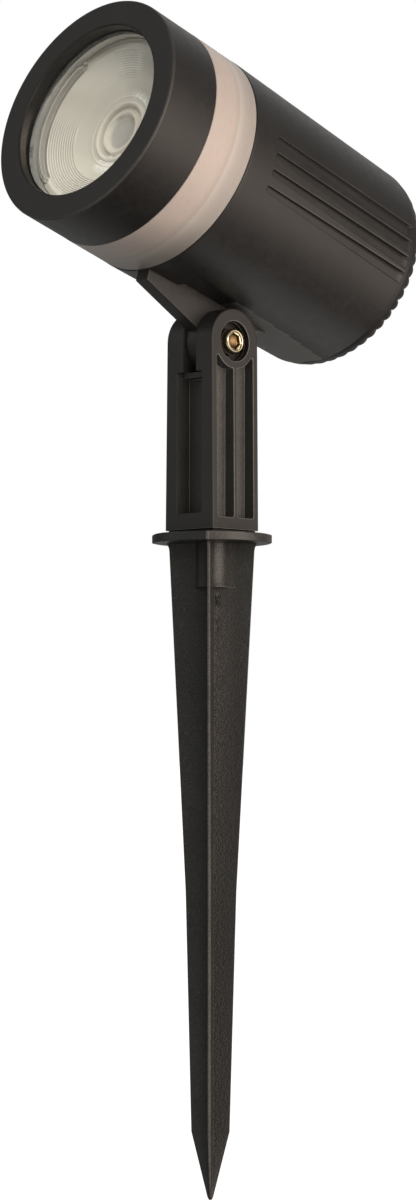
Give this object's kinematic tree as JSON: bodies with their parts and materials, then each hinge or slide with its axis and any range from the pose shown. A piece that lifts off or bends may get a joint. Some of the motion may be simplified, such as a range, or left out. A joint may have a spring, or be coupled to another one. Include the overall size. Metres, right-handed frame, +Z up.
{
  "type": "garden spike spotlight",
  "caption": "Outdoor spotlight with a tapered round head and a pale side-glow band, tilting in a clevis column that turns on a finned ground spike.",
  "frame": {"origin": "centre of the flange's underside, on the ground line", "axes": "+Z up along the spike, X along the tilt hinge's axis, the lamp looks towards -Y and upwards"},
  "size_m": [0.0702, 0.1347, 0.3518],
  "materials": {
    "black_plastic": "fine moulded grain, matt black",
    "spike_plastic": "moulded black, slightly glossy with specks",
    "gland_plastic": "moulded black nylon",
    "frosted_plastic": "frosted translucent, pale pinkish white",
    "clear_glass": "clear, polished",
    "clear_optic": "clear moulded lens with fine ridges",
    "holder_plastic": "light grey moulded",
    "black_rubber": "matt",
    "yellow_zinc": "bright yellow plated",
    "insert_brass": "turned",
    "steel": "plated",
    "cast_aluminium": "turned",
    "board_white": "white solder resist",
    "led_yellow": "phosphor",
    "pad_grey": "soft pad",
    "board_green": "green board",
    "component_black": "moulded",
    "transformer_yellow": "taped winding on a ferrite core",
    "terminal_grey": "moulded",
    "wire_red": "insulated lead"
  },
  "bodies": {
    "spike": {"ground_spike": "spike_plastic", "spike_insert": "insert_brass"},
    "bracket": {"bracket": "black_plastic", "bracket_stud": "steel", "hinge_screw": "yellow_zinc", "hinge_nut": "yellow_zinc"},
    "head": {"housing": "black_plastic", "front_bezel": "black_plastic", "diffuser_ring": "frosted_plastic", "bezel_seal": "black_rubber", "ring_seal": "black_rubber", "glass_gasket": "black_rubber", "cover_glass": "clear_glass", "lens_holder": "holder_plastic", "optic_lens": "clear_optic", "spot_led": "led_yellow", "led_board": "board_white", "thermal_pad": "pad_grey", "board_screws": "steel", "heat_sink": "cast_aluminium", "holder_screws": "steel", "heat_sink_screws": "steel", "ring_led_board": "board_white", "ring_leds": "led_yellow", "driver_board": "board_green", "driver_transformer": "transformer_yellow", "driver_capacitor": "component_black", "driver_chips": "component_black", "terminal_block": "terminal_grey", "led_wires": "wire_red", "ring_wires": "wire_red", "rear_cap": "black_plastic", "rear_cap_seal": "black_rubber", "gland_body": "gland_plastic", "gland_locknut": "gland_plastic", "gland_seal": "black_rubber", "gland_nut": "gland_plastic"}
  },
  "joints": [
    {"name": "bracket_pan", "type": "hinge", "parent": "spike", "child": "bracket", "pos_m": [0, 0, 0.0025], "axis": [0, 0, 1], "range_deg": [-180, 180]},
    {"name": "head_tilt", "type": "hinge", "parent": "bracket", "child": "head", "pos_m": [0, 0, 0.0602], "axis": [-1, 0, 0], "range_deg": [-62.5, 72.5]}
  ]
}
